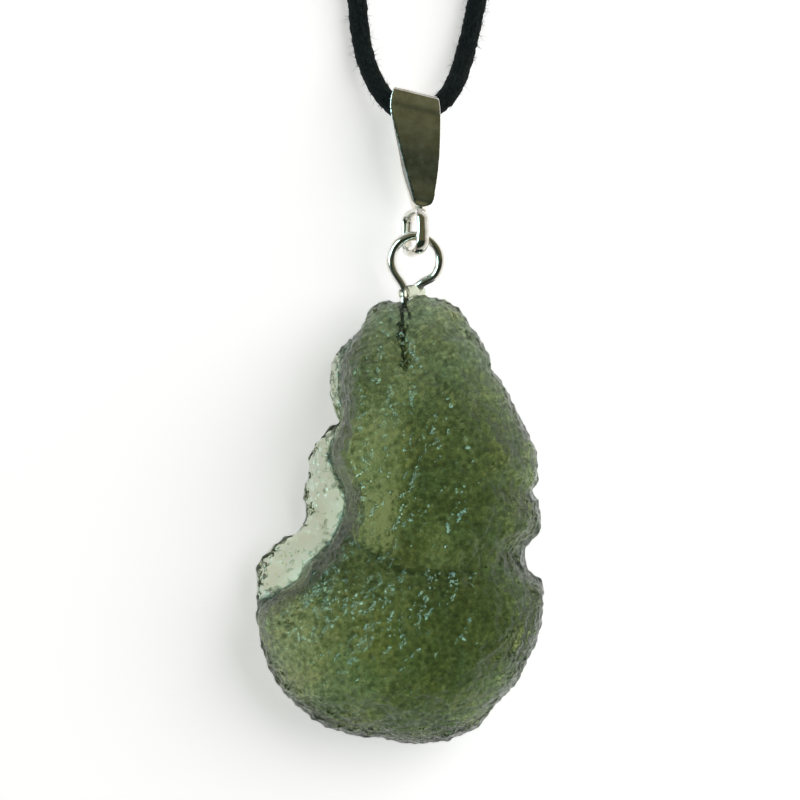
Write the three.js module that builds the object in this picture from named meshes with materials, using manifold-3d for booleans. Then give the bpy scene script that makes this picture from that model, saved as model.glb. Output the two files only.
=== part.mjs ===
// A raw moldavite hung from a silver wire eye, a tapered silver bail and a thin cotton cord.
// It lies on its back on the plane z = 0, in millimetres: X across, Y along the pendant towards
// the cord, Z up out of its front face.
import * as THREE from "three";
import { mergeVertices } from "three/addons/utils/BufferGeometryUtils.js";
import Module from "manifold-3d";

const wasm = await Module();
wasm.setup();

// Driving dimensions of the stone.
const rimZ = 3.2; // height of the stone's thin edge above the surface
const ledgeRimZ = 2.1; // the same along the thin ledge on its left side
const ledgeHalf = 0.8; // half the thickness of that ledge
const rimWidth = 4.6; // distance over which the front rounds off to the rim
const wallWidth = 1.5; // the same along the steep wall above the ledge
const backWidth = 6.0; // the same on the back
const restSpot = 0.12; // how far the back would reach below the surface, cut off as the flat spot
const restCentre = [1.8, -12.2];
const backBow = 0.006; // rise of the back away from that spot, for each square millimetre
const creaseDepth = 0.55; // shallow valley between the upper dome and the lower lobe
const creaseWidth = 0.75; // half its width
const leftThinning = 0.3; // how much lower the front is along the left side
const rimSteps = 90; // points round the thick stone
const frontRings = 13;
const backRings = 8;
const plateSteps = 40; // points round each thin plate
const plateRings = 5;

// Driving dimensions of the silver.
const wireD = 0.66;
const eyeR = 1.67; // radius of the wire's centreline round the eye
const eyeX = 1.1;
const eyeTopY = 12.38; // centreline of the wire at the top of the eye, where the link rides
const pegX = 0.32;
const pegEndY = 2.7;
const drillD = 1.2;
const drillEndY = 2.4;
const linkHalf = 1.67; // half the length of the band link
const linkDepth = 1.42; // half its depth, front to back
const linkCorner = 1.0; // outer radius of its bends
const linkBand = 0.92; // width of its band
const linkThick = 0.5;
const linkTurn = THREE.MathUtils.degToRad(26);
const linkX = 1.08;
const linkY = 12.64;
const bailTurn = THREE.MathUtils.degToRad(9);
const foldSlant = THREE.MathUtils.degToRad(-12); // the strap's fold runs down to the right
const bailDrop = THREE.MathUtils.degToRad(-10); // the bail's top sinks until it lies on the surface
const solderGap = 0.1;
const edgeRound = 0.1; // rounding of the link's edges

// Driving dimensions of the cord.
const cordD = 1.38;
const coilX = 1.2;
const coilY = 42.6;
const coilTurns = 4; // in each of the two layers
const coilOuter = 10.1; // centreline radius of the outermost turn
const knotR = 1.9;

const silver = { color: 0xb9bab4, roughness: 0.3, metalness: 1 };
const group = new THREE.Group();
const radians = THREE.MathUtils.degToRad;

function solidOf(geometry) {
  const plain = geometry.clone();
  plain.deleteAttribute("normal");
  plain.deleteAttribute("uv");
  const merged = mergeVertices(plain, 1e-4);
  return new wasm.Manifold(
    new wasm.Mesh({
      numProp: 3,
      vertProperties: merged.attributes.position.array,
      triVerts: new Uint32Array(merged.index.array),
    }),
  );
}

function geometryOf(solid) {
  const { vertProperties, triVerts } = solid.getMesh();
  return new THREE.BufferGeometry()
    .setAttribute("position", new THREE.BufferAttribute(vertProperties, 3))
    .setIndex(new THREE.BufferAttribute(triVerts, 1));
}

function addPart(name, geometry, finish, parent = group) {
  const mesh = new THREE.Mesh(geometry, new THREE.MeshStandardMaterial(finish));
  mesh.name = name;
  parent.add(mesh);
  return mesh;
}

// A round bar of diameter d along a smooth curve through points.
function roundBar(points, d, sides, steps) {
  const section = new THREE.Shape().absarc(0, 0, d / 2, 0, 2 * Math.PI);
  return new THREE.ExtrudeGeometry(section, {
    curveSegments: sides / 2,
    steps,
    extrudePath: new THREE.CatmullRomCurve3(points, false, "centripetal"),
  });
}

// THE STONE
// Each outline is seen from the front and runs clockwise. This one is the thick stone's, from the
// drilled mouth down the right side with its notch, round the foot, and up the foot of the wall.
const stoneRim = [
  [-0.2, 7.8], [0.8, 8.25], [1.8, 8.4], [2.8, 8.0], [3.8, 7.6], [4.35, 7.2], [4.7, 6.5],
  [5.4, 5.7], [5.8, 5.1], [6.2, 4.3], [6.4, 3.3], [6.9, 2.8], [7.4, 1.9], [7.8, 0.9],
  [8.3, 0.1], [8.8, -0.9], [9.3, -1.8], [9.6, -4.0], [9.4, -4.9], [9.1, -5.2], [9.3, -5.6],
  [9.7, -5.9], [9.7, -7.1], [9.8, -7.7], [9.5, -8.2], [8.6, -9.1], [8.35, -9.4], [8.6, -9.9],
  [8.9, -10.8], [9.65, -11.3], [10.0, -11.9], [10.0, -12.7], [9.7, -14.7], [9.4, -15.7],
  [8.7, -17.3], [7.9, -18.7], [6.5, -20.2], [5.5, -21.3], [3.8, -22.3], [1.1, -22.7],
  [-0.8, -22.4], [-3.4, -22.0], [-5.5, -21.2], [-7.7, -19.5], [-8.8, -17.7], [-9.6, -15.6],
  [-9.8, -13.6], [-8.2, -12.2], [-7.1, -11.4], [-6.2, -10.3], [-5.1, -9.2], [-4.4, -8.2],
  [-3.9, -7.2], [-3.7, -6.2], [-3.8, -5.1], [-4.2, -4.1], [-4.7, -2.9], [-4.5, -1.4],
  [-4.0, -0.4], [-3.9, 0.7], [-4.1, 1.8], [-4.2, 2.9], [-3.8, 4.2], [-3.2, 5.4], [-2.4, 6.5],
  [-2.2, 7.3], [-1.3, 8.0],
];
// The thin ledge below the wall, and the small flange above it. Both run on into the thick stone.
const ledgeRim = [
  [-9.6, -15.2], [-10.0, -12.2], [-9.8, -10.0], [-9.0, -9.3], [-8.7, -8.8], [-7.3, -8.3],
  [-6.4, -7.0], [-6.6, -5.5], [-6.4, -3.6], [-6.2, -2.4], [-5.3, -1.2], [-4.15, -0.3],
  [-2.6, -0.8], [-1.9, -4.0], [-2.2, -8.5], [-3.8, -12.0], [-6.6, -14.8],
];
const flangeRim = [
  [-3.9, -1.2], [-4.25, -0.2], [-4.8, 1.2], [-4.9, 2.8], [-4.3, 4.5], [-3.3, 5.3], [-1.8, 5.2],
  [-1.2, 2.6], [-2.2, -0.6],
];

function smoothOutline(points, steps) {
  const curve = new THREE.CatmullRomCurve3(
    points.map(([x, y]) => new THREE.Vector3(x, y, 0)), true, "centripetal");
  return curve.getSpacedPoints(steps).slice(0, steps).map((p) => [p.x, p.y]);
}

// Distance from (x, y) to the straight line between two points.
function distanceTo([x1, y1], [x2, y2], x, y) {
  const along = ((x - x1) * (x2 - x1) + (y - y1) * (y2 - y1)) / ((x2 - x1) ** 2 + (y2 - y1) ** 2);
  const t = THREE.MathUtils.clamp(along, 0, 1);
  return Math.hypot(x - x1 - t * (x2 - x1), y - y1 - t * (y2 - y1));
}

// Distance from (x, y) to a closed outline, negative outside it.
function depthInside(outline, x, y) {
  let nearest = Infinity;
  let inside = false;
  outline.forEach(([x1, y1], i) => {
    const [x2, y2] = outline[(i + 1) % outline.length];
    nearest = Math.min(nearest, distanceTo([x1, y1], [x2, y2], x, y));
    if (y1 > y !== y2 > y && x < x1 + ((y - y1) * (x2 - x1)) / (y2 - y1)) inside = !inside;
  });
  return inside ? nearest : -nearest;
}

// A quarter of a circle: 0 at the edge, rising steeply at first, 1 from the full width on.
const quarter = (t) => Math.sqrt(1 - (1 - THREE.MathUtils.clamp(t, 0, 1)) ** 2);
const blend = (value, from, to) => THREE.MathUtils.smoothstep(value, from, to);

// Height of the front above the rim along the stone, from the drilled top to the foot.
const crest = new THREE.CatmullRomCurve3(
  [[9, 1.3], [6.5, 2.3], [4, 3.3], [0, 4.5], [-5, 5.2], [-10, 5.3], [-16, 5.5], [-19.5, 4.9],
    [-23, 3.4]].map(([y, h]) => new THREE.Vector3(y, h, 0)));
const crestSamples = crest.getPoints(200);
function crestHeight(y) {
  return crestSamples.reduce((best, p) => (Math.abs(p.x - y) < Math.abs(best.x - y) ? p : best)).y;
}

// Scoops and pits big enough to see from a step away, as [x, y, radius, depth].
const frontScoops = [
  [2.6, 5.9, 1.1, 0.45], [4.2, 6.2, 0.8, 0.35], [5.4, 4.6, 0.9, 0.4], [5.7, 1.1, 1.0, 0.35],
  [7.4, -0.6, 0.9, 0.35], [8.4, -3.0, 1.0, 0.4], [8.7, -6.7, 0.9, 0.45], [7.5, -9.8, 1.1, 0.5],
  [8.9, -12.6, 1.0, 0.4], [-5.4, -12.7, 0.6, 0.35], [-7.3, -14.6, 0.9, 0.35],
  [-5.2, -17.9, 1.1, 0.35], [-1.6, -19.6, 1.2, 0.3], [2.6, -20.4, 1.1, 0.4],
  [6.4, -17.6, 1.2, 0.4], [-1.9, 3.3, 0.9, 0.4], [-2.6, -2.6, 1.0, 0.35], [-2.2, -6.6, 0.9, 0.3],
  [-0.6, 6.2, 0.8, 0.4], [3.9, -14.2, 1.3, 0.25], [-3.4, -15.4, 1.0, 0.25],
];
// Hollows in the back, where the glass is thinner and looks paler from the front.
const backScoops = [
  [-1.2, -5.4, 2.2, 0.5], [-1.3, -8.0, 2.2, 0.5], [2.8, -8.8, 2.2, 0.4], [7.2, -15.0, 1.6, 0.4],
  [-3.2, -1.4, 2.2, 0.4],
];
const creaseLine = [[-3.4, -8.3], [-2.4, -9.1], [-0.7, -10.3], [1.6, -10.8], [4.6, -10.7], [6.2, -10.2]];

function dip(x, y, [cx, cy, radius, depth]) {
  const t = Math.hypot(x - cx, y - cy) / radius;
  return t < 1 ? depth * (1 - t * t) ** 2 : 0;
}

// How deep the crease is at (x, y): a rounded valley that dies out to both sides of its line.
function creaseDip(x, y) {
  const distances = creaseLine.slice(1).map((end, i) => distanceTo(creaseLine[i], end, x, y));
  return creaseDepth * Math.exp(-((Math.min(...distances) / creaseWidth) ** 2));
}

// Slow swells that the etched surface has all over.
function swell(x, y) {
  return 0.13 * Math.sin(1.25 * x + 0.4 * y) * Math.sin(1.05 * y - 0.5 * x + 0.7)
    + 0.08 * Math.sin(2.3 * x - 1.1 * y + 1.9) * Math.sin(1.9 * y + 0.6 * x);
}

const stoneEdge = smoothOutline(stoneRim, 2 * rimSteps);

function stoneFront(x, y) {
  const inner = Math.max(0, depthInside(stoneEdge, x, y));
  const nearWall = blend(-x, -0.5, 3) * blend(y, -16, -12.5) * (1 - blend(y, 3, 7));
  const width = THREE.MathUtils.lerp(rimWidth * (1 - 0.45 * blend(y, -2, 8)), wallWidth, nearWall);
  const thinned = 1 - leftThinning * blend(-x, -2, 8) * blend(-y, 4, 12);
  const top = crestHeight(y) * thinned + swell(x, y) - creaseDip(x, y);
  const scooped = frontScoops.reduce((sum, scoop) => sum + dip(x, y, scoop), 0);
  return rimZ + Math.max(0, top * quarter(inner / width) - scooped * blend(inner, 0, 0.5));
}

function stoneBack(x, y) {
  const inner = Math.max(0, depthInside(stoneEdge, x, y));
  const width = backWidth * (1 - 0.5 * blend(y, -2, 8));
  const rounded = rimZ - (rimZ + restSpot) * quarter(inner / width);
  const swelling = swell(x + 3, y - 2) * blend(inner, 0, 1.5) * blend(rounded, 0, 0.8);
  const fromSpot = Math.hypot(x - restCentre[0], y - restCentre[1]);
  const bow = backBow * fromSpot ** 2 * blend(inner, 0, 4);
  return rounded + swelling + bow + backScoops.reduce((sum, scoop) => sum + dip(x, y, scoop), 0);
}

// The skin of a flattish piece: rings of its outline, drawn in towards a centre that sees all of
// it, on the front and on the back.
function pebble(rim, centre, rings, heights, rimHeight) {
  const points = [];
  const faces = [];
  const addRing = (share, heightAt) => {
    const start = points.length / 3;
    rim.forEach(([rx, ry]) => {
      const x = centre[0] + share * (rx - centre[0]);
      const y = centre[1] + share * (ry - centre[1]);
      points.push(x, y, heightAt(x, y));
    });
    return start;
  };
  const edge = addRing(1, () => rimHeight);
  heights.forEach((heightAt, side) => {
    const turn = (corners) => (side === 0 ? corners : corners.reverse());
    let outer = edge;
    for (let k = 1; k < rings[side]; k++) {
      const inner = addRing(1 - (k / rings[side]) ** 1.5, heightAt);
      rim.forEach((_, i) => {
        const j = (i + 1) % rim.length;
        const [a, b, c, d] = turn([inner + i, inner + j, outer + j, outer + i]);
        faces.push(a, b, c, a, c, d);
      });
      outer = inner;
    }
    points.push(...centre, heightAt(...centre));
    const middle = points.length / 3 - 1;
    rim.forEach((_, i) => faces.push(...turn([middle, outer + ((i + 1) % rim.length), outer + i])));
  });
  return new THREE.BufferGeometry()
    .setAttribute("position", new THREE.Float32BufferAttribute(points, 3))
    .setIndex(faces);
}

// A thin plate of even thickness with a rounded rim.
function plate(outline, centre) {
  const rim = smoothOutline(outline, plateSteps);
  const heightAt = (side) => (x, y) => {
    const inner = Math.max(0, depthInside(rim, x, y));
    return ledgeRimZ + side * ledgeHalf * quarter(inner / ledgeHalf) + 0.5 * swell(x, y) * blend(inner, 0, 1);
  };
  return solidOf(pebble(rim, centre, [plateRings, plateRings], [heightAt(1), heightAt(-1)], ledgeRimZ));
}

const drillLength = 9; // right out through the top
const drill = new THREE.CylinderGeometry(drillD / 2, drillD / 2, drillLength, 16);
drill.translate(pegX, drillEndY + drillLength / 2, rimZ);
const thickStone = pebble(smoothOutline(stoneRim, rimSteps), [1.1, -7.2], [frontRings, backRings],
  [stoneFront, stoneBack], rimZ);
const stone = solidOf(thickStone)
  .add(plate(ledgeRim, [-4.5, -8.5]))
  .add(plate(flangeRim, [-2.6, 2.3]))
  .subtract(solidOf(drill))
  .trimByPlane([0, 0, 1], 0);
addPart("moldavite", geometryOf(stone), { color: 0x55623e, roughness: 0.35, metalness: 0 });

// THE EYE
// One wire: a straight peg down the drilled hole, then once round the eye, back to the peg.
const eyeCentreY = eyeTopY - eyeR;
const eyePoints = [[pegX, pegEndY], [pegX, 4.4], [pegX, 6.2], [pegX, 7.7], [pegX, 8.75]]
  .map(([x, y]) => new THREE.Vector3(x, y, rimZ));
for (let angle = 212; angle >= -44; angle -= 16) {
  eyePoints.push(new THREE.Vector3(
    eyeX + eyeR * Math.cos(radians(angle)), eyeCentreY + eyeR * Math.sin(radians(angle)), rimZ));
}
eyePoints.push(new THREE.Vector3(eyeX + 0.42, eyeCentreY - eyeR + 0.12, rimZ));
addPart("eye_wire", roundBar(eyePoints, wireD, 10, 44), silver);

// THE GLUE
// A flat drop of clear glue on top of the stone, round the peg and under the end of the ring.
const glueRim = [[-0.3, 3.2], [0.0, 3.7], [0.6, 3.85], [1.3, 3.75], [1.75, 3.4], [1.8, 3.0],
  [1.4, 2.65], [0.7, 2.55], [0.0, 2.7]];
const glueBottom = 8.48;
const glueThick = 0.26;
const glueShape = new THREE.Shape(
  smoothOutline(glueRim, 24).map(([x, z]) => new THREE.Vector2(x, z)));
glueShape.holes.push(new THREE.Path().absarc(pegX, rimZ, wireD / 2 + 0.1, 0, 2 * Math.PI));
const glueDrop = new THREE.ExtrudeGeometry(glueShape,
  { depth: glueThick, bevelEnabled: false, curveSegments: 8 });
const glue = addPart("glue_bead", glueDrop, { color: 0xd8dccb, roughness: 0.3, metalness: 0 });
glue.rotation.x = Math.PI / 2;
glue.position.y = glueBottom + glueThick;

// THE CORD
// The part of it between the bail and the coil, from the coil up the left strand, through the
// bail and along the right strand. It comes down to the surface on both sides of the bail.
const layZ = cordD / 2 + 0.02;
const cordRoute = [
  [-4.05, 32.0, layZ], [-3.2, 30.2, layZ], [-2.93, 28.7, layZ], [-2.82, 27.3, layZ],
  [-2.62, 25.9, 0.8], [-2.3, 24.6, 1.1], [-1.83, 23.4, 1.45], [-1.21, 22.3, 1.75],
  [-0.6, 21.6, 1.9], [0.2, 21.1, 1.95], [1.1, 20.94, 1.95], [2.0, 21.1, 1.95], [2.8, 21.6, 1.9],
  [3.42, 22.3, 1.75], [4.0, 23.4, 1.4], [4.43, 24.7, 1.05], [4.85, 26.3, 0.8], [5.3, 28.4, 0.75],
  [5.75, 30.2, 0.9], [6.7, 32.1, 1.15],
].map(([x, y, z]) => new THREE.Vector3(x, y, z));
const black = { color: 0x14191a, roughness: 0.95, metalness: 0 };
addPart("cord", roundBar(cordRoute, cordD, 8, 30), black);

// THE BAIL AND ITS LINK
// Both swing together on the wire at the top of the eye, so they hang in one group from there.
const hanger = new THREE.Group();
hanger.position.set(0, eyeTopY, rimZ);
hanger.rotation.x = bailDrop;
group.add(hanger);

// The link's long way round, seen from the side: an oblong with round bends.
function oblong(halfLong, halfDeep, corner) {
  const path = new THREE.Path();
  const long = halfLong - corner;
  const deep = halfDeep - corner;
  path.absarc(deep, long, corner, 0, Math.PI / 2);
  path.absarc(-deep, long, corner, Math.PI / 2, Math.PI);
  path.absarc(-deep, -long, corner, Math.PI, 1.5 * Math.PI);
  path.absarc(deep, -long, corner, 1.5 * Math.PI, 2 * Math.PI);
  return path.getPoints(6);
}

const bandShape = new THREE.Shape(
  oblong(linkHalf - edgeRound, linkDepth - edgeRound, linkCorner - edgeRound));
bandShape.holes.push(new THREE.Path(oblong(linkHalf - linkThick + edgeRound,
  linkDepth - linkThick + edgeRound, linkCorner - linkThick + edgeRound)));
const band = new THREE.ExtrudeGeometry(bandShape, {
  depth: linkBand - 2 * edgeRound, bevelThickness: edgeRound, bevelSize: edgeRound, bevelSegments: 1,
});
band.translate(0, 0, edgeRound - linkBand / 2);
band.rotateY(Math.PI / 2);
const link = addPart("bail_link", band, silver, hanger);
link.rotation.y = linkTurn;
link.position.set(linkX, linkY - eyeTopY, 0);

// The bail's front, from the left of its tip clockwise, as offsets from the tip.
const bailTip = [1.62, 14.36, 0.15];
const bailFront = [
  [-0.72, 0], [-1.32, 1.0], [-1.74, 2.1], [-2.07, 3.6], [-2.46, 5.6], [-2.6, 6.7], [-2.52, 7.35],
  [-2.33, 7.9], [-2.08, 8.5], [-1.68, 8.9], [0.12, 8.9], [0.52, 8.4], [0.72, 7.7], [0.88, 6.9],
  [0.98, 5.8], [1.02, 4.4], [1.0, 2.8], [0.85, 1.2], [0.63, 0.15], [0.46, 0],
];
// The strap's run seen from the side: flat up the front, sharply over the cord, down the back.
const bailSide = [[0.6, 0], [0.68, 0.4], [0.95, 1.9], [1.42, 4.4], [1.72, 6.2], [1.86, 7.2],
  [1.83, 7.56], [1.6, 7.73], [1.1, 7.77], [0.2, 7.76], [-0.9, 7.45], [-1.65, 6.7], [-1.85, 5.6], [-1.4, 3.3], [-0.95, 1.2],
  [-0.7, 0]];
const bailHole = [[0.1, 2.0], [0.8, 4.4], [1.24, 6.0], [1.3, 6.95], [1.0, 7.42], [0.1, 7.36],
  [-0.75, 7.02], [-1.28, 6.35], [-1.37, 5.4], [-0.85, 3.6]];
const foldMiddle = [-0.6, 7.6];
const narrowing = 0.104; // share of its width that the strap loses for each millimetre of depth
const fullWidthAt = 1.8; // height of the front face at the fold, where the strap is widest
const blank = 7; // deep enough to reach through the other one
// A slanting facet down the left of the front: the side that it cuts away from, and its place.
const facetNormal = [0.672, 0.314, -0.672];
const facetOffset = -0.848;

function shapeOf(points, steps) {
  return new THREE.Shape(smoothOutline(points, steps).map(([x, y]) => new THREE.Vector2(x, y)));
}

const bailPlate = new THREE.ExtrudeGeometry(shapeOf(bailFront, 44), { depth: blank, bevelEnabled: false });
bailPlate.translate(0, 0, -blank / 2);
const corners = bailPlate.getAttribute("position");
for (let i = 0; i < corners.count; i++) {
  corners.setX(i, corners.getX(i) * (1 + narrowing * (corners.getZ(i) - fullWidthAt)));
}
const bailRun = shapeOf(bailSide, 44);
bailRun.holes.push(shapeOf(bailHole, 28));
const bailStrap = new THREE.ExtrudeGeometry(bailRun, { depth: blank, bevelEnabled: false });
bailStrap.translate(0, -foldMiddle[1], -blank / 2);
bailStrap.rotateY(-Math.PI / 2);
bailStrap.rotateZ(foldSlant);
bailStrap.translate(foldMiddle[0], foldMiddle[1], 0);
const place = new THREE.Matrix4().makeRotationY(bailTurn);
place.setPosition(bailTip[0], bailTip[1] - eyeTopY + solderGap, bailTip[2]);
hanger.updateMatrixWorld();
// The edges of the fold are worn round where the cord bends up past them.
const worn = roundBar(cordRoute, cordD + 0.24, 12, 40)
  .applyMatrix4(new THREE.Matrix4().multiplyMatrices(hanger.matrixWorld, place).invert());
const bailSolid = solidOf(bailPlate).intersect(solidOf(bailStrap)).subtract(solidOf(worn))
  .trimByPlane(facetNormal, facetOffset);
addPart("bail", geometryOf(bailSolid).applyMatrix4(place), silver, hanger);

// THE COIL
// The rest of the cord as one ring: two layers of turns, wound flat.
const coilInner = coilOuter - coilTurns * cordD - cordD / 2;
const coilRim = coilOuter + cordD / 2;
const coilProfile = [[coilInner, 0.3], [coilInner + 0.3, 0], [coilRim - 0.3, 0], [coilRim, 0.3],
  [coilRim, 2 * cordD - 0.3], [coilRim - 0.3, 2 * cordD], [coilInner + 0.3, 2 * cordD],
  [coilInner, 2 * cordD - 0.3], [coilInner, 0.3]].map(([r, y]) => new THREE.Vector2(r, y));
const coil = addPart("cord_coil", new THREE.LatheGeometry(coilProfile, 36), black);
coil.rotation.x = Math.PI / 2;
coil.position.set(coilX, coilY, 0);

// The knot that joins the two ends, lying inside the coil.
const knot = addPart("cord_knot", new THREE.SphereGeometry(knotR, 14, 9), black);
knot.scale.set(1, 0.86, 0.74);
knot.position.set(coilX, coilY, 0.74 * knotR);

export default group;
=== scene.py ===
# A raw moldavite on a silver eye, link and bail, with a black cotton cord, laid on its back.
# Each piece is modelled with one unit to a millimetre and is shrunk to metres when it is done.
import math
import random

import bpy
import numpy as np
from mathutils import Matrix, Vector


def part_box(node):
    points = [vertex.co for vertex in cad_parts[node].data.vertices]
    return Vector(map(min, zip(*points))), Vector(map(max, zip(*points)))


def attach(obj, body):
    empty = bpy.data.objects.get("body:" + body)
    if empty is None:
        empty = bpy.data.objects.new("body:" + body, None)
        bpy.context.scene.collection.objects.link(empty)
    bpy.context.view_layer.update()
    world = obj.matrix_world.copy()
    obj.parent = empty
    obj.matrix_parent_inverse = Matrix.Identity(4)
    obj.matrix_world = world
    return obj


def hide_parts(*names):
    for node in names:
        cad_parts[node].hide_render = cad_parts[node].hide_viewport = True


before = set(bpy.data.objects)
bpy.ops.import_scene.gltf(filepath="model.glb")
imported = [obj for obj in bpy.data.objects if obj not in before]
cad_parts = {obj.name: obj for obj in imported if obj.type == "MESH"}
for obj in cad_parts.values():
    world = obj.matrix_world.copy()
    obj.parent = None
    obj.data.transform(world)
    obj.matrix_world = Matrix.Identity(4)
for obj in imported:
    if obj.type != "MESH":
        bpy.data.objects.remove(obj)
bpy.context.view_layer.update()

# THE CAMERA
# It looks straight down on the pendant, as from a copy stand, with a long lens.
VIEW_WIDTH = 0.05517
VIEW_CENTRE = (0.00003, 0.00107)
RIM_HEIGHT = 0.0032
SENSOR_WIDTH = 36
LENS = 200

camera_data = bpy.data.cameras.new("camera")
camera_data.sensor_width = SENSOR_WIDTH
camera_data.lens = LENS
camera_data.clip_start = 0.01
camera_data.clip_end = 10
camera = bpy.data.objects.new("camera", camera_data)
bpy.context.scene.collection.objects.link(camera)
camera.location = (*VIEW_CENTRE, RIM_HEIGHT + VIEW_WIDTH * LENS / SENSOR_WIDTH)
bpy.context.scene.camera = camera


# THE CORD
# A round cord of black cotton, felted and fuzzy from wear. It passes through the bail's fold, and
# both of its ends lead away to one flat coil of two layers, with the knot in its middle.
CORD_DIAMETER = 1.38
FELT_SWELLING = 0.06
CORD_SIDES = 32
LINE_SPACING = 0.22
COIL_CENTRE = (1.2, 42.6)
COIL_TURNS = 4
OUTER_TURN = 10.1
LOW_LAYER = 0.71
HIGH_LAYER = 2.07
TURN_POINTS = 40
KNOT_REACH = 2.4
KNOT_HEIGHT = 1.5
LAST_TURN = math.radians(200)
LAST_POINTS = 8
BAIL_ROUTE = [
    (-4.05, 32.0, 0.71), (-3.2, 30.2, 0.71), (-2.93, 28.7, 0.71), (-2.82, 27.3, 0.71),
    (-2.62, 25.9, 0.8), (-2.3, 24.6, 1.1), (-1.83, 23.4, 1.45), (-1.21, 22.3, 1.75),
    (-0.6, 21.6, 1.9), (0.2, 21.1, 1.95), (1.1, 20.94, 1.95), (2.0, 21.1, 1.95), (2.8, 21.6, 1.9),
    (3.42, 22.3, 1.75), (4.0, 23.4, 1.4), (4.43, 24.7, 1.05), (4.85, 26.3, 0.8), (5.3, 28.4, 0.75),
    (5.75, 30.2, 0.9), (6.7, 32.1, 1.15),
]
LEFT_APPROACH = [(-8.0, 38.6, 0.71), (-6.3, 35.4, 0.71)]
RIGHT_APPROACH = [(8.5, 34.6, 1.9), (10.6, 38.4, 2.07)]


def activate(piece):
    bpy.ops.object.select_all(action="DESELECT")
    piece.select_set(True)
    bpy.context.view_layer.objects.active = piece


def apply_modifier(piece, kind, **settings):
    activate(piece)
    modifier = piece.modifiers.new(kind.lower(), kind)
    for name, value in settings.items():
        setattr(modifier, name, value)
    bpy.ops.object.modifier_apply(modifier=modifier.name)


def to_metres(piece):
    activate(piece)
    piece.scale = (0.001, 0.001, 0.001)
    bpy.ops.object.transform_apply(location=True, rotation=True, scale=True)


def shade_smooth(piece, angle=None):
    activate(piece)
    if angle is None:
        bpy.ops.object.shade_smooth()
    else:
        bpy.ops.object.shade_smooth_by_angle(angle=math.radians(angle))


def smooth_line(points, spacing):
    """Points about spacing apart along a smooth curve through the given ones."""
    points = [Vector(p) for p in points]
    padded = [2 * points[0] - points[1], *points, 2 * points[-1] - points[-2]]
    line = []
    for a, b, c, d in zip(padded, padded[1:], padded[2:], padded[3:]):
        steps = max(1, round((c - b).length / spacing))
        for i in range(steps):
            t = i / steps
            line.append(0.5 * (2 * b + (c - a) * t + (2 * a - 5 * b + 4 * c - d) * t**2
                               + (3 * b - a - 3 * c + d) * t**3))
    return [*line, points[-1]]


def winding(start_angle, turn, height, end_height):
    """A layer of the coil from its outer turn inwards, and on to the knot."""
    points = []
    count = COIL_TURNS * TURN_POINTS
    for i in range(count + 1):
        radius = OUTER_TURN - CORD_DIAMETER * i / TURN_POINTS
        angle = start_angle + turn * 2 * math.pi * i / TURN_POINTS
        points.append((COIL_CENTRE[0] + radius * math.cos(angle),
                       COIL_CENTRE[1] + radius * math.sin(angle), height))
    inner, last = OUTER_TURN - CORD_DIAMETER * COIL_TURNS, angle
    for i in range(1, LAST_POINTS + 1):
        radius = inner + (KNOT_REACH - inner) * i / LAST_POINTS
        angle = last + turn * LAST_TURN * i / LAST_POINTS
        points.append((COIL_CENTRE[0] + radius * math.cos(angle),
                       COIL_CENTRE[1] + radius * math.sin(angle),
                       height + (end_height - height) * min(1, i / 5)))
    return points


low_layer = winding(math.pi, -1, LOW_LAYER, LOW_LAYER)
high_layer = winding(0, 1, HIGH_LAYER, KNOT_HEIGHT)
cord_route = [*reversed(low_layer), *LEFT_APPROACH, *BAIL_ROUTE, *RIGHT_APPROACH, *high_layer]
cord_line = smooth_line(cord_route, LINE_SPACING)
cord_length = sum((b - a).length for a, b in zip(cord_line, cord_line[1:]))


def tube(name, line, diameter, sides):
    """A round tube along a line, made as a curve with a bevel and turned into a mesh."""
    curve = bpy.data.curves.new(name, "CURVE")
    curve.dimensions = "3D"
    curve.bevel_depth = diameter / 2
    curve.bevel_resolution = sides // 4 - 1
    curve.use_fill_caps = True
    spline = curve.splines.new("POLY")
    spline.points.add(len(line) - 1)
    for point, place in zip(spline.points, line):
        point.co = (*place, 1)
    piece = bpy.data.objects.new(name, curve)
    bpy.context.scene.collection.objects.link(piece)
    activate(piece)
    bpy.ops.object.convert(target="MESH")
    return piece


def node(tree, kind, inputs=(), **settings):
    """A shader node with its inputs set or linked, and its own settings."""
    made = tree.nodes.new("ShaderNode" + kind)
    for name, value in settings.items():
        setattr(made, name, value)
    for socket, value in dict(inputs).items():
        if isinstance(value, bpy.types.NodeSocket):
            tree.links.new(value, made.inputs[socket])
        else:
            made.inputs[socket].default_value = value
    return made


def math_node(tree, operation, *values):
    return node(tree, "Math", dict(enumerate(values)), operation=operation).outputs[0]


def ramp(tree, value, *stops):
    """A colour that changes with the value, from stops of a place and a colour each."""
    made = node(tree, "ValToRGB", {"Fac": value})
    for i, (place, colour) in enumerate(stops):
        stop = made.color_ramp.elements[i] if i < 2 else made.color_ramp.elements.new(place)
        stop.position = place
        stop.color = (*colour, 1)
    return made.outputs["Color"]


def new_material(name):
    """A material, its tree, its shader and a place on the piece in millimetres."""
    material = bpy.data.materials.new(name)
    material.use_nodes = True
    tree = material.node_tree
    tree.nodes.clear()
    shader = node(tree, "BsdfPrincipled")
    node(tree, "OutputMaterial", {"Surface": shader.outputs["BSDF"]})
    in_metres = node(tree, "TexCoord").outputs["Object"]
    place = node(tree, "Mapping", {"Vector": in_metres, "Scale": (1000, 1000, 1000)})
    return material, tree, shader, place.outputs["Vector"]


def finish_piece(piece, material, body, slot, *nodes):
    """The piece gets its material and its body, and the solids that it stands for are hidden. The
    slot is not used.
    """
    piece.data.materials.clear()
    piece.data.materials.append(material)
    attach(piece, body)
    if nodes:
        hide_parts(*nodes)


BLACK = (0.002, 0.0033, 0.003)
WORN_BLACK = (0.012, 0.018, 0.0165)
PALE_FIBRE = (0.045, 0.06, 0.06)

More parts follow.
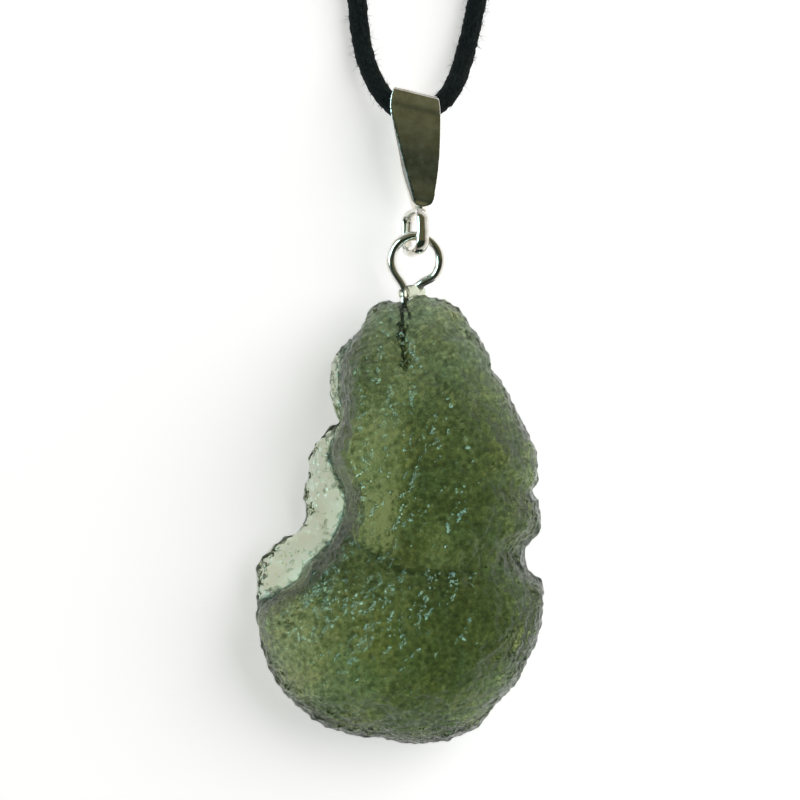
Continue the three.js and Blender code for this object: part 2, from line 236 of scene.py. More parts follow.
cotton, tree, shader, place = new_material("black_cotton")
uv = node(tree, "UVMap", uv_map="UVMap").outputs["UV"]
lengthwise = node(tree, "Mapping", {"Vector": uv, "Rotation": (0, 0, 0.012),
                                    "Scale": (cord_length / 2.2, 9, 1)}).outputs["Vector"]
strands = node(tree, "TexNoise", {"Vector": lengthwise, "Scale": 2.2, "Detail": 5,
                                  "Roughness": 0.7}).outputs["Fac"]
felt = node(tree, "TexNoise", {"Vector": place, "Scale": 3.2, "Detail": 6,
                               "Roughness": 0.75}).outputs["Fac"]
mixed = math_node(tree, "MULTIPLY", strands, felt)
tree.links.new(ramp(tree, mixed, (0.18, BLACK), (0.33, WORN_BLACK), (0.46, PALE_FIBRE)),
               shader.inputs["Base Color"])
shader.inputs["Roughness"].default_value = 0.95
shader.inputs["Specular IOR Level"].default_value = 0.25
relief = node(tree, "Bump", {"Height": mixed, "Strength": 0.9, "Distance": 0.0002})
tree.links.new(relief.outputs["Normal"], shader.inputs["Normal"])

cord = tube("cotton_cord", cord_line, CORD_DIAMETER - FELT_SWELLING, CORD_SIDES)
felting = bpy.data.textures.new("felting", "CLOUDS")
felting.noise_scale = 0.32
felting.noise_depth = 2
apply_modifier(cord, "DISPLACE", texture=felting, texture_coords="LOCAL", strength=0.22,
               mid_level=0.5)
shade_smooth(cord)
to_metres(cord)
finish_piece(cord, cotton, "hanger", "black_cotton", "cord", "cord_coil")


def fibre_mesh(name, fibres, thickness):
    """Fine fibres as three-sided spikes, each one a list of points from its root to its tip."""
    points, faces = [], []
    for fibre in fibres:
        along = (fibre[-1] - fibre[0]).normalized()
        side = along.orthogonal().normalized()
        other = along.cross(side)
        start = len(points)
        for i, spot in enumerate(fibre[:-1]):
            reach = thickness / 2 * (1 - 0.6 * i / (len(fibre) - 1))
            points += [spot + reach * (math.cos(a) * side + math.sin(a) * other)
                       for a in (0, 2.094, 4.189)]
        points.append(fibre[-1])
        tip = len(points) - 1
        faces.append((start + 2, start + 1, start))
        for i in range(len(fibre) - 2):
            ring = start + 3 * i
            faces += [(ring + k, ring + (k + 1) % 3, ring + 3 + (k + 1) % 3, ring + 3 + k)
                      for k in range(3)]
        faces += [(tip - 3 + k, tip - 3 + (k + 1) % 3, tip) for k in range(3)]
    mesh = bpy.data.meshes.new(name)
    mesh.from_pydata(points, [], faces)
    piece = bpy.data.objects.new(name, mesh)
    bpy.context.scene.collection.objects.link(piece)
    return piece


FIBRE_THICKNESS = 0.03
FIBRE_REACHES = (0.14, 0.2, 0.26, 0.34, 0.7)
FIBRE_STEPS = 3
ROOT_DEPTH = 0.08
WORN_FIBRES = 7200
COIL_FIBRES = 5000
COIL_MARGIN = 4
FLOOR_CLEARANCE = 0.02
draw = random.Random(5)
bail_low, bail_high = (corner * 1000 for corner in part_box("bail"))
coil_low, coil_high = (corner * 1000 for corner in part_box("cord_coil"))
worn = [i for i, p in enumerate(cord_line) if p.y < coil_low.y + COIL_MARGIN
        and not (bail_low.x < p.x < bail_high.x and p.y < bail_high.y)]
wound = [i for i, p in enumerate(cord_line[:-1]) if i and p.y >= coil_low.y + COIL_MARGIN]


def fibre_from(i):
    """A curly fibre that leaves the cord's surface at point i of its line."""
    along = (cord_line[i + 1] - cord_line[i - 1]).normalized()
    side = along.cross(Vector((0, 0, 1))).normalized()
    angle = draw.uniform(0, 2 * math.pi)
    out = math.cos(angle) * side + math.sin(angle) * along.cross(side)
    reach = draw.choice(FIBRE_REACHES) * draw.uniform(0.6, 1.4)
    lean = out * draw.uniform(0.3, 1) + along * draw.choice((-1, 1)) * draw.uniform(0.1, 1.2)
    curl = Vector([draw.gauss(0, 0.8) for _ in range(3)])
    fibre = [cord_line[i] + out * (CORD_DIAMETER / 2 - ROOT_DEPTH)
             + along * draw.uniform(-LINE_SPACING / 2, LINE_SPACING / 2)]
    for _ in range(FIBRE_STEPS):
        lean = (lean.normalized() + curl * 0.7).normalized()
        spot = fibre[-1] + lean * reach / FIBRE_STEPS
        spot.z = max(FLOOR_CLEARANCE, spot.z)
        fibre.append(spot)
    return fibre


fibres = [fibre_from(draw.choice(worn)) for _ in range(WORN_FIBRES)]
fibres += [fibre_from(draw.choice(wound)) for _ in range(COIL_FIBRES)]
fuzz = fibre_mesh("cord_fuzz", fibres, FIBRE_THICKNESS)
to_metres(fuzz)

fuzz_material, tree, shader, place = new_material("black_fibre")
tone = node(tree, "TexNoise", {"Vector": place, "Scale": 1.3}).outputs["Fac"]
tree.links.new(ramp(tree, tone, (0.35, BLACK), (0.6, WORN_BLACK)), shader.inputs["Base Color"])
shader.inputs["Roughness"].default_value = 0.8
finish_piece(fuzz, fuzz_material, "hanger", "black_cotton")

# The knot joins the cord's two ends, which stick out of it a little.
KNOT_CENTRE = Vector((*COIL_CENTRE, 1.4))
KNOT_SIZE = 0.44
KNOT_POINTS = 120
KNOT_CORD = 1.12
TAIL_CORD = 1.2
KNOT_SIDES = 20
TAIL_SPACING = 0.2
knot_line = [KNOT_CENTRE + Vector((KNOT_SIZE * (math.sin(t) + 2 * math.sin(2 * t)),
                                   0.86 * KNOT_SIZE * (math.cos(t) - 2 * math.cos(2 * t)),
                                   -0.72 * math.sin(3 * t)))
             for t in (2 * math.pi * i / KNOT_POINTS for i in range(KNOT_POINTS + 1))]
knot = tube("cord_knot_tied", knot_line, KNOT_CORD, KNOT_SIDES)
tails = [tube("tail", smooth_line([KNOT_CENTRE + Vector((side * 0.6, 0.7, -0.1)),
                                   KNOT_CENTRE + Vector((side * 1.0, 1.6, -0.45)),
                                   KNOT_CENTRE + Vector((side * 1.3, 2.7, -0.66))],
                                  TAIL_SPACING), TAIL_CORD, KNOT_SIDES) for side in (-1, 1)]
activate(knot)
for tail in tails:
    tail.select_set(True)
bpy.ops.object.join()
apply_modifier(knot, "REMESH", mode="VOXEL", voxel_size=0.12)
apply_modifier(knot, "SMOOTH", factor=0.5, iterations=6)
apply_modifier(knot, "DISPLACE", texture=felting, texture_coords="LOCAL", strength=0.1,
               mid_level=0.5)
shade_smooth(knot)
to_metres(knot)
knot_material, tree, shader, place = new_material("black_cotton_knot")
felt = node(tree, "TexNoise", {"Vector": place, "Scale": 3.2, "Detail": 6,
                               "Roughness": 0.75}).outputs["Fac"]
tree.links.new(ramp(tree, felt, (0.35, BLACK), (0.6, WORN_BLACK), (0.75, PALE_FIBRE)),
               shader.inputs["Base Color"])
shader.inputs["Roughness"].default_value = 0.95
shader.inputs["Specular IOR Level"].default_value = 0.25
relief = node(tree, "Bump", {"Height": felt, "Strength": 0.8, "Distance": 0.0001})
tree.links.new(relief.outputs["Normal"], shader.inputs["Normal"])
finish_piece(knot, knot_material, "hanger", "black_cotton", "cord_knot")


# THE STONE
# Natural green glass. Its outside is etched all over into small pits and sharp little ridges, and
# it has a thin ledge down its left side. A hole is drilled into its top for the eye's peg.
HOLE_RADIUS = 0.75
HOLE_LENGTH = 5.6
HOLE_MIDDLE = (0.32, 5.0, 3.2)
SKIN_GRAIN = 0.135


def copy_of_solid(name, source):
    """A copy of a solid's mesh, in millimetres and with its doubles merged."""
    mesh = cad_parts[source].data.copy()
    piece = bpy.data.objects.new(name, mesh)
    bpy.context.scene.collection.objects.link(piece)
    activate(piece)
    piece.scale = (1000, 1000, 1000)
    bpy.ops.object.transform_apply(location=True, rotation=True, scale=True)
    bpy.ops.object.mode_set(mode="EDIT")
    bpy.ops.mesh.select_all(action="SELECT")
    bpy.ops.mesh.remove_doubles(threshold=0.001)
    bpy.ops.object.mode_set(mode="OBJECT")
    return piece


def etch(piece, name, kind, size, strength, mid_level, **settings):
    """The surface is moved in and out by a pattern of the given kind and size."""
    texture = bpy.data.textures.new(name, kind)
    texture.noise_scale = size
    for setting, value in settings.items():
        setattr(texture, setting, value)
    apply_modifier(piece, "DISPLACE", texture=texture, texture_coords="LOCAL",
                   strength=strength, mid_level=mid_level)


stone = copy_of_solid("raw_moldavite", "moldavite")
# The glue fills the drilled hole, so that the peg shows through the glass as a dark line.
bpy.ops.mesh.primitive_cylinder_add(radius=HOLE_RADIUS, depth=HOLE_LENGTH,
                                    location=HOLE_MIDDLE, rotation=(math.pi / 2, 0, 0))
stone.select_set(True)
bpy.context.view_layer.objects.active = stone
bpy.ops.object.join()
apply_modifier(stone, "REMESH", mode="VOXEL", voxel_size=SKIN_GRAIN)
apply_modifier(stone, "SMOOTH", factor=0.5, iterations=8)
etch(stone, "broad_swell", "CLOUDS", 2.2, 0.22, 0.5, noise_depth=1)
etch(stone, "wide_scoops", "VORONOI", 1.4, 0.2, 0.35, distance_metric="DISTANCE_SQUARED")
etch(stone, "pits", "VORONOI", 0.5, 0.22, 0.35, distance_metric="DISTANCE_SQUARED")
shade_smooth(stone)

# The edge between the thin ledge and the thick body, from the top of the left side to its foot.
WALL_EDGE = [(-3.3, 5.3), (-3.9, 4.1), (-4.15, 2.8), (-4.1, 1.7), (-3.85, 0.3), (-4.2, -1.2),
             (-4.7, -2.0), (-4.95, -2.9), (-4.45, -4.1), (-3.75, -5.5), (-3.8, -6.5), (-4.1, -7.7),
             (-4.6, -8.6), (-5.7, -9.8), (-6.3, -10.9), (-6.8, -11.7), (-8.3, -12.1), (-9.9, -12.9)]
CREASE = [(-2.9, -8.6), (-1.9, -9.4), (-0.7, -10.3), (0.6, -10.6), (2.4, -10.9), (4.9, -10.7)]
INNER_DARK_STREAK = [(0.85, -0.2), (1.0, -2.2), (0.9, -4.4)]
# The places where the glass is painted lighter, as if light shone through it there, each with its
# middle, its half width and half height, its turn in degrees and its painted lightness.
PAINTED_LIGHT_PLACES = [
    (-1.9, -3.8, 2.5, 5.4, 0, 1.2), (-1.28, -6.8, 1.25, 2.3, 0, 2.2),
    (2.7, -8.85, 1.2, 1.75, 0, 1), (7.7, -15, 0.5, 0.55, 0, 1.3),
    (-6.9, -15.8, 3.4, 4.2, 20, 1.1), (-2.7, -15.5, 4.5, 4.8, 0, 0.78),
    (9.0, -4.2, 0.55, 0.95, 0, 1.6), (7.55, -3.14, 0.3, 0.3, 0, 1.6),
    (9.35, -6.9, 0.6, 1.3, 0, 1), (5.9, -19.3, 3, 1.6, 40, 1.05),
    (0, -20.5, 6, 2, 0, 0.6), (9.2, -1, 1, 4.8, 8, 0.7), (0.4, 1.6, 1.6, 1.2, 0, 0.8),
]
# Everywhere else the glass is darker, more so towards the crown, the foot and the right, with
# painted shade on steep places and along the wall beside the ledge.
DIM_GLASS = 0.51
CROWN_DIMMING = 0.065
FOOT_DIMMING = 0.04
RIGHT_DIMMING = 0.03
STEEP_PAINTED_SHADE = 0.8
WALL_PAINTED_SHADE = 0.8
WALL_REACH = 1.1
LEDGE_PAINTED_LIGHT = 1.7
LEDGE_TOP = 5.3
# Dark lines painted on the glass: painted shade along the wall's foot and in the crease, and a dark
# streak inside the stone, each with its half width and its depth.
PAINTED_SHADE_LINES = [(WALL_EDGE, 0.42, 0.9), (CREASE, 0.3, 0.9), (INNER_DARK_STREAK, 0.16, 0.6)]


def away_from(route, spots):
    """How far each spot is from a line of points, and on which side (positive on the left)."""
    nearest = np.full(len(spots), np.inf)
    side = np.zeros(len(spots))
    for start, end in zip(route, route[1:]):
        start, step = np.array(start), np.subtract(end, start)
        t = np.clip((spots - start) @ step / (step @ step), 0, 1)
        away = spots - start - t[:, None] * step
        distance = np.hypot(away[:, 0], away[:, 1])
        closer = distance < nearest
        nearest[closer] = distance[closer]
        side[closer] = np.sign(step[0] * away[:, 1] - step[1] * away[:, 0])[closer]
    return nearest, side


spots = np.empty(len(stone.data.vertices) * 3)
stone.data.vertices.foreach_get("co", spots)
spots = spots.reshape(-1, 3)[:, :2]
tint_and_painted_light = (DIM_GLASS - CROWN_DIMMING * np.clip(spots[:, 1] + 2, 0, 6)
             - FOOT_DIMMING * np.clip(-17 - spots[:, 1], 0, 4)
             - RIGHT_DIMMING * np.clip(spots[:, 0] - 6, 0, 4))
# Painted light: the listed places are made lighter, as if light shone through the glass there.
for x, y, wide, high, turn, value in PAINTED_LIGHT_PLACES:
    angle = math.radians(turn)
    offset = (spots - (x, y)) @ [[math.cos(angle), -math.sin(angle)],
                                 [math.sin(angle), math.cos(angle)]]
    reach = (offset[:, 0] / wide) ** 4 + (offset[:, 1] / high) ** 4
    tint_and_painted_light = np.maximum(tint_and_painted_light, DIM_GLASS + (value - DIM_GLASS) * np.exp(-reach * 1.5))
# Painted shade: the glass is made darker where its surface is steep.
normals = np.empty(len(spots) * 3)
stone.data.vertex_normals.foreach_get("vector", normals)
tint_and_painted_light *= 1 - STEEP_PAINTED_SHADE * (1 - np.abs(normals[2::3]))
# Painted shade along the wall beside the ledge.
from_wall, wall_side = away_from(WALL_EDGE, spots)
tint_and_painted_light *= 1 - WALL_PAINTED_SHADE * np.exp(-(from_wall / WALL_REACH) ** 2)
# Painted light: the thin ledge is made light, as if lit from beneath.
on_ledge = np.clip(0.5 - wall_side * from_wall / 0.2, 0, 1) * (spots[:, 1] < LEDGE_TOP)
tint_and_painted_light = np.maximum(tint_and_painted_light, on_ledge * LEDGE_PAINTED_LIGHT)
painted_line_shade = np.zeros(len(spots))
for route, width, depth in PAINTED_SHADE_LINES:
    distance, _ = away_from(route, spots)
    painted_line_shade = np.maximum(painted_line_shade, depth * np.exp(-(distance / width) ** 2))
etched = 0.35 + 0.25 * np.clip((3 - spots[:, 0]) / 3, 0, 1)
for name, values in (("tint_and_painted_light", tint_and_painted_light), ("painted_line_shade", painted_line_shade), ("etched", etched)):
    layer = stone.data.attributes.new(name, "FLOAT", "POINT")
    layer.data.foreach_set("value", values)

stone_low, stone_high = (corner * 1000 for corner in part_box("moldavite"))
for vertex in stone.data.vertices:
    vertex.co = [min(max(value, low), high)
                 for value, low, high in zip(vertex.co, stone_low, stone_high)]
to_metres(stone)

glass, tree, shader, place = new_material("green_glass")
shader.inputs["Transmission Weight"].default_value = 1
shader.inputs["IOR"].default_value = 1.49
shader.inputs["Specular Tint"].default_value = (0.5, 0.58, 0.5, 1)

haze = node(tree, "TexNoise", {"Vector": place, "Scale": 0.5, "Detail": 5,
                               "Roughness": 0.65}).outputs["Fac"]
# The glass's tint, with painted light where light would shine through and painted shade on steep
# places and along the wall.
clear = node(tree, "Attribute", attribute_name="tint_and_painted_light").outputs["Fac"]
varied = math_node(tree, "MULTIPLY_ADD", math_node(tree, "SUBTRACT", haze, 0.5), 0.5, clear)
# Painted shade: the glass is darkened along the painted shade lines, broken up by noise.
shade_line_noise = node(tree, "TexNoise", {"Vector": place, "Scale": 2.2, "Detail": 4,
                                     "Roughness": 0.7}).outputs["Fac"]
shade_line_place = node(tree, "Attribute", attribute_name="painted_line_shade").outputs["Fac"]
shade_along_lines = node(tree, "MapRange", {"Value": shade_line_noise, "From Min": 0.4, "From Max": 0.6}).outputs[0]
shade_along_lines = math_node(tree, "MULTIPLY", shade_along_lines, shade_line_place)
# Painted shade and highlight: the glass is darker in hollows and lighter on ridges, by the mesh's
# pointiness.
cavity_shade_ridge_light = node(tree, "MapRange", {
    "Value": node(tree, "NewGeometry").outputs["Pointiness"],
    "From Min": 0.465, "From Max": 0.535, "To Min": 0.35, "To Max": 1.45}).outputs[0]
fine_pits = node(tree, "TexVoronoi", {"Vector": place, "Scale": 3.4}).outputs["Distance"]
pitted = node(tree, "MapRange", {"Value": fine_pits, "From Min": 0.2, "From Max": 0.75,
                                 "To Min": 1.25, "To Max": 0.65}).outputs[0]
mottle = node(tree, "TexNoise", {"Vector": place, "Scale": 1.3, "Detail": 5,
                                 "Roughness": 0.7}).outputs["Fac"]
mottled = node(tree, "MapRange", {"Value": mottle, "From Min": 0.38, "From Max": 0.62,
                                  "To Min": 0.6, "To Max": 1.45}).outputs[0]
brightness = math_node(tree, "MULTIPLY", varied, cavity_shade_ridge_light)
brightness = math_node(tree, "MULTIPLY", brightness, pitted)
brightness = math_node(tree, "MULTIPLY", brightness, mottled)
brightness = math_node(tree, "MULTIPLY", brightness, math_node(tree, "SUBTRACT", 1, shade_along_lines))
colour = ramp(tree, brightness, (0, (0.02, 0.035, 0.035)), (1, (1, 1, 0.98)),
              (0.5, (0.46, 0.54, 0.47)))
hue_noise = node(tree, "TexNoise", {"Vector": place, "Scale": 0.42, "Detail": 4,
                                    "Roughness": 0.6}).outputs["Fac"]
hue = ramp(tree, hue_noise, (0.4, (0.84, 0.94, 0.94)), (0.6, (1, 0.95, 0.78)))
hue_share = node(tree, "MapRange", {"Value": clear, "From Min": 0.8, "From Max": 1.2,
                                    "To Min": 1, "To Max": 0.2}).outputs[0]
hued = node(tree, "Mix", {"Factor": hue_share}, data_type="RGBA", blend_type="MULTIPLY")
tree.links.new(colour, hued.inputs[6])
tree.links.new(hue, hued.inputs[7])
tree.links.new(hued.outputs[2], shader.inputs["Base Color"])
frost = node(tree, "TexNoise", {"Vector": place, "Scale": 0.9, "Detail": 4}).outputs["Fac"]
rough = node(tree, "MapRange", {"Value": frost, "From Min": 0.35, "From Max": 0.65,
                                "To Min": 0.03, "To Max": 0.1})
tree.links.new(rough.outputs["Result"], shader.inputs["Roughness"])
tiny_pits = node(tree, "TexVoronoi", {"Vector": place, "Scale": 6.5}).outputs["Distance"]
height = math_node(tree, "MULTIPLY_ADD", tiny_pits, 0.25, fine_pits)
depth = node(tree, "Attribute", attribute_name="etched").outputs["Fac"]
relief = node(tree, "Bump", {"Height": height, "Strength": depth, "Distance": 0.00009})
tree.links.new(relief.outputs["Normal"], shader.inputs["Normal"])
tint = node(tree, "VolumeAbsorption", {"Color": (0.58, 0.64, 0.35, 1), "Density": 400})
tree.links.new(tint.outputs["Volume"], tree.get_output_node("ALL").inputs["Volume"])
finish_piece(stone, glass, "pendant", "green_glass", "moldavite")


# THE EYE
# One silver wire: a straight peg glued into the drilled hole, then a ring that comes round to it.
WIRE = 0.66
EYE_RADIUS = 1.67
EYE_CENTRE = (1.1, 10.71)
PEG_X = 0.32
WIRE_HEIGHT = 3.2
RING_START = 212
RING_END = -45
RING_STEP = -16

eye_route = [(PEG_X, y, WIRE_HEIGHT) for y in (2.75, 4.4, 6.2, 7.7, 8.75)]
for degrees in range(RING_START, RING_END, RING_STEP):
    angle = math.radians(degrees)
    eye_route.append((EYE_CENTRE[0] + EYE_RADIUS * math.cos(angle),
                      EYE_CENTRE[1] + EYE_RADIUS * math.sin(angle), WIRE_HEIGHT))
eye_route += [(1.62, 9.2, WIRE_HEIGHT), (1.2, 8.86, WIRE_HEIGHT)]
eye_line = smooth_line(eye_route, 0.08)
eye = tube("silver_eye", eye_line, WIRE, 24)
shade_smooth(eye, 40)
to_metres(eye)

silver, tree, shader, place = new_material("polished_silver")
shader.inputs["Metallic"].default_value = 1
tarnish = node(tree, "TexNoise", {"Vector": place, "Scale": 0.8, "Detail": 5,
                                  "Roughness": 0.6}).outputs["Fac"]
tree.links.new(ramp(tree, tarnish, (0.35, (0.62, 0.58, 0.48)), (0.62, (0.9, 0.89, 0.85))),
               shader.inputs["Base Color"])
wear = node(tree, "TexNoise", {"Vector": place, "Scale": 2.6, "Detail": 6,
                               "Roughness": 0.7}).outputs["Fac"]
rough = node(tree, "MapRange", {"Value": wear, "From Min": 0.3, "From Max": 0.7,
                                "To Min": 0.1, "To Max": 0.22})
tree.links.new(rough.outputs["Result"], shader.inputs["Roughness"])
streaks = node(tree, "Mapping", {"Vector": place, "Scale": (9, 1.1, 9)}).outputs["Vector"]
brushed = node(tree, "TexNoise", {"Vector": streaks, "Scale": 1, "Detail": 6,
                                  "Roughness": 0.65}).outputs["Fac"]
relief = node(tree, "Bump", {"Height": brushed, "Strength": 0.1, "Distance": 0.00002})
tree.links.new(relief.outputs["Normal"], shader.inputs["Normal"])
finish_piece(eye, silver, "pendant", "silver", "eye_wire")


# THE GLUE
# A small lump of clear glue that has set round the peg and the end of the ring.
GLUE_SPOTS = [(PEG_X + 0.1, 8.45, WIRE_HEIGHT, 0.5), (0.8, 8.6, 3.25, 0.46),
              (1.3, 8.68, 3.2, 0.46), (1.5, 8.5, 3.1, 0.36)]
lumps = []
for x, y, z, radius in GLUE_SPOTS:
    bpy.ops.mesh.primitive_ico_sphere_add(subdivisions=4, radius=radius, location=(x, y, z))
    lumps.append(bpy.context.object)
glue = lumps[0]
activate(glue)
for lump in lumps:
    lump.select_set(True)
bpy.ops.object.join()
glue.name = "glue_lump"
bpy.ops.object.transform_apply(location=True, rotation=True, scale=True)
apply_modifier(glue, "REMESH", mode="VOXEL", voxel_size=0.1)
apply_modifier(glue, "SMOOTH", factor=0.5, iterations=4)
etch(glue, "glue_lumps", "CLOUDS", 0.4, 0.16, 0.5)
shade_smooth(glue)
to_metres(glue)
resin, tree, shader, place = new_material("clear_glue")
shader.inputs["Base Color"].default_value = (0.72, 0.76, 0.6, 1)
shader.inputs["Transmission Weight"].default_value = 1
shader.inputs["IOR"].default_value = 1.5
shader.inputs["Roughness"].default_value = 0.06
wrinkles = node(tree, "TexNoise", {"Vector": place, "Scale": 3, "Detail": 4}).outputs["Fac"]
relief = node(tree, "Bump", {"Height": wrinkles, "Strength": 1, "Distance": 0.00008})
tree.links.new(relief.outputs["Normal"], shader.inputs["Normal"])
finish_piece(glue, resin, "pendant", "clear_glue", "glue_bead")


# THE LINK
# An oblong ring of domed silver band, turned a little, soldered under the bail's tip.
HANG_POINT = Vector((0, 12.38, 3.2))
HANG_DROP = math.radians(-10)
LINK_HALF = 1.67
LINK_DEPTH = 1.42
LINK_CORNER = 1.0
LINK_BAND = 0.92
LINK_THICKNESS = 0.5
LINK_TURN = math.radians(26)
LINK_PLACE = Vector((1.08, 0.26, 0))

hang = Matrix.Translation(HANG_POINT) @ Matrix.Rotation(HANG_DROP, 4, "X")


def oblong(half_deep, half_long, corner):
    """The points of an oblong's four round corners."""
    points = []
    for turn, (x, y) in enumerate(((1, 1), (-1, 1), (-1, -1), (1, -1))):
        for step in range(5):
            angle = math.pi / 2 * (turn + step / 4)
            points.append((x * (half_deep - corner) + corner * math.cos(angle),
                           y * (half_long - corner) + corner * math.sin(angle)))
    return points


bpy.ops.curve.primitive_bezier_circle_add(radius=1)
section = bpy.context.object
section.scale = (LINK_THICKNESS / 2, LINK_BAND / 2, 1)
bpy.ops.object.transform_apply(location=False, rotation=False, scale=True)
section.data.resolution_u = 10
band = bpy.data.curves.new("silver_link", "CURVE")
band.dimensions = "2D"
band.fill_mode = "NONE"
band.bevel_mode = "OBJECT"
band.bevel_object = section
spline = band.splines.new("BEZIER")
middle = oblong(LINK_DEPTH - LINK_THICKNESS / 2, LINK_HALF - LINK_THICKNESS / 2,
                LINK_CORNER - LINK_THICKNESS / 2)
spline.use_cyclic_u = True
spline.bezier_points.add(len(middle) - 1)
for point, (x, y) in zip(spline.bezier_points, middle):
    point.co = (x, y, 0)
    point.handle_left_type = point.handle_right_type = "AUTO"
link = bpy.data.objects.new("silver_link", band)
bpy.context.scene.collection.objects.link(link)
activate(link)
bpy.ops.object.convert(target="MESH")
bpy.data.objects.remove(section)
link.data.transform(hang @ Matrix.Translation(LINK_PLACE) @ Matrix.Rotation(LINK_TURN, 4, "Y")
                    @ Matrix.Rotation(math.pi / 2, 4, "Y"))
shade_smooth(link)
to_metres(link)
finish_piece(link, silver, "hanger", "silver", "bail_link")


# THE BAIL
# A tapered silver strap folded over the cord, wide at the fold, its two ends joined at the tip.
BAIL_TURN = math.radians(9)
FOLD_SLANT = math.radians(-12)
CUTTING_DEPTH = 7
BAIL_TIP = Vector((1.62, 2.02, 0.15))
FOLD_MIDDLE = (-0.6, 7.6)
NARROWING = 0.104
FULL_WIDTH_AT = 1.8
FACET_POINT = (-0.95, 1, 0.78)
FACET_NORMAL = (-0.672, -0.314, 0.672)
FRONT_OUTLINE = [
    (-0.72, 0), (-1.32, 1.0), (-1.74, 2.1), (-2.07, 3.6), (-2.46, 5.6), (-2.6, 6.7), (-2.52, 7.35),
    (-2.33, 7.9), (-2.08, 8.5), (-1.68, 8.9), (0.12, 8.9), (0.52, 8.4), (0.72, 7.7), (0.88, 6.9),
    (0.98, 5.8), (1.02, 4.4), (1.0, 2.8), (0.85, 1.2), (0.63, 0.15), (0.46, 0),
]
SIDE_OUTLINE = [(0.6, 0), (0.68, 0.4), (0.95, 1.9), (1.42, 4.4), (1.72, 6.2), (1.86, 7.2),
                (1.83, 7.56), (1.6, 7.73), (1.1, 7.77), (0.2, 7.76), (-0.9, 7.45), (-1.65, 6.7),
                (-1.85, 5.6), (-1.4, 3.3), (-0.95, 1.2), (-0.7, 0)]
SIDE_HOLE = [(0.1, 2.0), (0.8, 4.4), (1.24, 6.0), (1.3, 6.95), (1.0, 7.42), (0.1, 7.36),
             (-0.75, 7.02), (-1.28, 6.35), (-1.37, 5.4), (-0.85, 3.6)]


def slab(name, depth, *outlines):
    """A flat slab with smooth outlines, the second and later ones as holes."""
    curve = bpy.data.curves.new(name, "CURVE")
    curve.dimensions = "2D"
    curve.fill_mode = "BOTH"
    curve.extrude = depth / 2
    curve.resolution_u = 12
    for outline in outlines:
        spline = curve.splines.new("BEZIER")
        spline.use_cyclic_u = True
        spline.bezier_points.add(len(outline) - 1)
        for point, (x, y) in zip(spline.bezier_points, outline):
            point.co = (x, y, 0)
            point.handle_left_type = point.handle_right_type = "AUTO"
    piece = bpy.data.objects.new(name, curve)
    bpy.context.scene.collection.objects.link(piece)
    activate(piece)
    bpy.ops.object.convert(target="MESH")
    bpy.ops.object.mode_set(mode="EDIT")
    bpy.ops.mesh.select_all(action="SELECT")
    bpy.ops.mesh.remove_doubles(threshold=0.0005)
    bpy.ops.mesh.normals_make_consistent(inside=False)
    bpy.ops.object.mode_set(mode="OBJECT")
    return piece


bail = slab("silver_bail", CUTTING_DEPTH, FRONT_OUTLINE)
for vertex in bail.data.vertices:
    vertex.co.x *= 1 + NARROWING * (vertex.co.z - FULL_WIDTH_AT)
strap = slab("strap", CUTTING_DEPTH, SIDE_OUTLINE, SIDE_HOLE)
strap.data.transform(Matrix.Translation((*FOLD_MIDDLE, 0)) @ Matrix.Rotation(FOLD_SLANT, 4, "Z")
                     @ Matrix.Rotation(-math.pi / 2, 4, "Y")
                     @ Matrix.Translation((0, -FOLD_MIDDLE[1], 0)))
apply_modifier(bail, "BOOLEAN", operation="INTERSECT", object=strap, solver="EXACT")
bpy.data.objects.remove(strap)
activate(bail)
bpy.ops.object.mode_set(mode="EDIT")
bpy.ops.mesh.select_all(action="SELECT")
bpy.ops.mesh.bisect(plane_co=FACET_POINT, plane_no=FACET_NORMAL, use_fill=True, clear_outer=True)
bpy.ops.object.mode_set(mode="OBJECT")
apply_modifier(bail, "REMESH", mode="VOXEL", voxel_size=0.05)
apply_modifier(bail, "SMOOTH", factor=0.5, iterations=6)
bail.data.transform(hang @ Matrix.Translation(BAIL_TIP) @ Matrix.Rotation(BAIL_TURN, 4, "Y"))
shade_smooth(bail)
to_metres(bail)
finish_piece(bail, silver, "hanger", "silver", "bail")


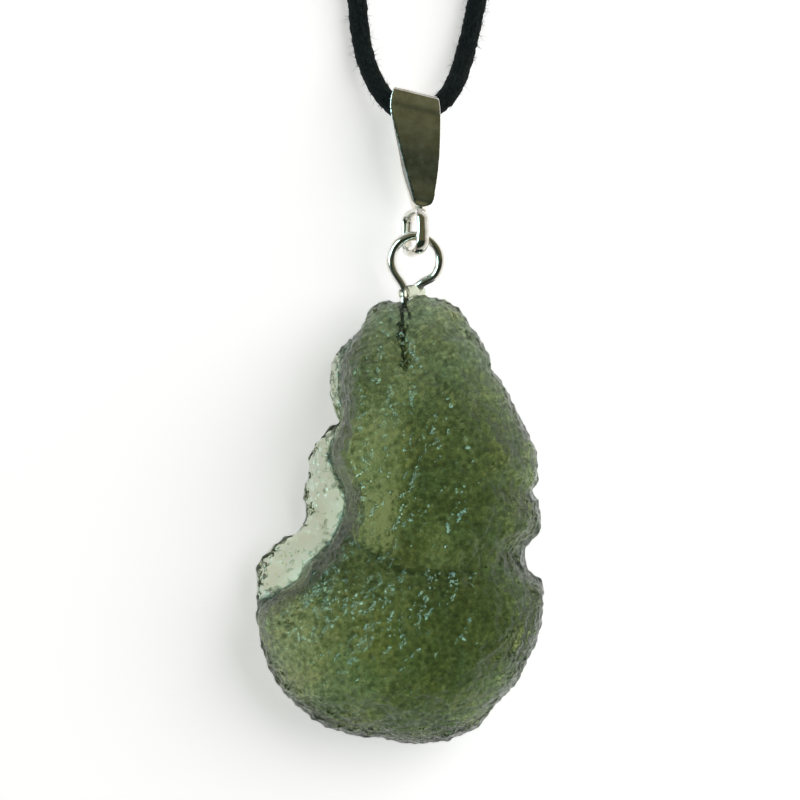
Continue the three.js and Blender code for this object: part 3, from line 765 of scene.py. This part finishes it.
# THE STUDIO
# A white sheet on a light table, a soft light from the right, and two small cool lights at the
# left that show only as glints. The room is pale all round and dim overhead, over the camera.
bpy.ops.object.select_all(action="DESELECT")
bpy.ops.mesh.primitive_plane_add(size=4, location=(0, 0, -0.00002))
floor = bpy.context.object
floor.name = "white_sheet"
sheet, tree, shader, _ = new_material("white_paper")
shader.inputs["Base Color"].default_value = (0.92, 0.92, 0.92, 1)
shader.inputs["Roughness"].default_value = 0.9
shader.inputs["Specular IOR Level"].default_value = 0.2
shader.inputs["Emission Color"].default_value = (1, 1, 1, 1)
shader.inputs["Emission Strength"].default_value = 0.52
floor.data.materials.append(sheet)


def soft_light(name, place, size, power, colour):
    data = bpy.data.lights.new(name, "AREA")
    data.size = size
    data.energy = power
    data.color = colour
    light = bpy.data.objects.new(name, data)
    bpy.context.scene.collection.objects.link(light)
    light.location = place
    light.rotation_euler = (-Vector(place)).to_track_quat("-Z", "Y").to_euler()
    return light


GLINT_COLOUR = (0.5, 0.84, 0.92)
key_light = soft_light("key_light", (0.25, 0.1, 0.24), 0.36, 1.1, (1, 0.995, 1))
key_light.visible_glossy = False
window_light = soft_light("window_light", (-0.19, 0.15, 0.26), 0.12, 0.75, GLINT_COLOUR)
window_light.visible_diffuse = False
low_window_light = soft_light("low_window_light", (-0.3, 0.05, 0.2), 0.13, 0.6, GLINT_COLOUR)
low_window_light.visible_diffuse = False

world = bpy.data.worlds.new("studio")
bpy.context.scene.world = world
world.use_nodes = True
tree = world.node_tree
tree.nodes.clear()
direction = node(tree, "TexCoord").outputs["Generated"]
parts = node(tree, "SeparateXYZ", {"Vector": direction})
overhead = ramp(tree, parts.outputs["Y"], (0.042, (0.02, 0.03, 0.02)), (0.065, (0.12, 0.12, 0.065)))
overhead_share = node(tree, "MapRange", {"Value": parts.outputs["Z"], "From Min": 0.38,
                                         "From Max": 0.52}).outputs["Result"]
room = node(tree, "Mix", {"Factor": overhead_share}, data_type="RGBA")
rightward = math_node(tree, "MULTIPLY_ADD", parts.outputs["X"], 0.5, 0.5)
tree.links.new(ramp(tree, rightward, (0.25, (0.35, 0.35, 0.35)), (0.6, (0.8, 0.8, 0.8))),
               room.inputs[6])
tree.links.new(overhead, room.inputs[7])
background = node(tree, "Background", {"Color": room.outputs[2], "Strength": 1})
node(tree, "OutputWorld", {"Surface": background.outputs["Background"]})

bpy.context.scene.view_settings.view_transform = "Standard"
